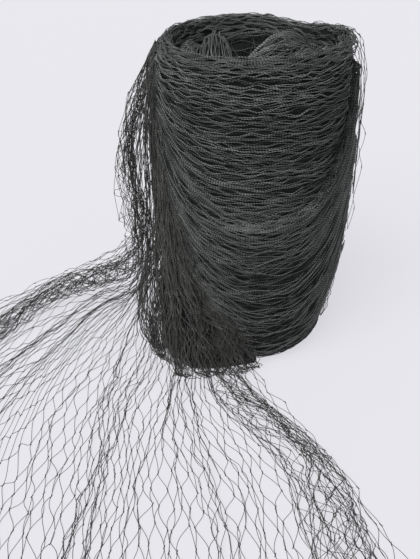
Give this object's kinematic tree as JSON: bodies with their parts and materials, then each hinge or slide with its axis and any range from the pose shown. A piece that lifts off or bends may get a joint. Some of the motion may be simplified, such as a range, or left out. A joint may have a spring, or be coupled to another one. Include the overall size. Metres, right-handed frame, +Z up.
{
  "type": "fruit cage netting",
  "caption": "Upright wound roll of knotted diamond-mesh netting with its loose end drawn down one side and fanned over the surface.",
  "frame": {"origin": "centre of the roll's base, on the surface that it stands on", "axes": "+Z up along the roll's axis; +X to the right and -Y towards the viewer when the loose end lies to the left and in front"},
  "size_m": [0.6847, 0.6497, 0.4503],
  "materials": {
    "roll_yarn": "gathered twisted polyethylene yarn, matt charcoal with a slight grey-green sheen",
    "net_yarn": "knotted twisted polyethylene yarn, matt charcoal with a faint olive tone",
    "swag_yarn": "knotted twisted polyethylene yarn, matt charcoal"
  },
  "bodies": {
    "root": {"wound_roll": "roll_yarn", "loose_end": "net_yarn", "side_swag": "swag_yarn"}
  },
  "joints": []
}
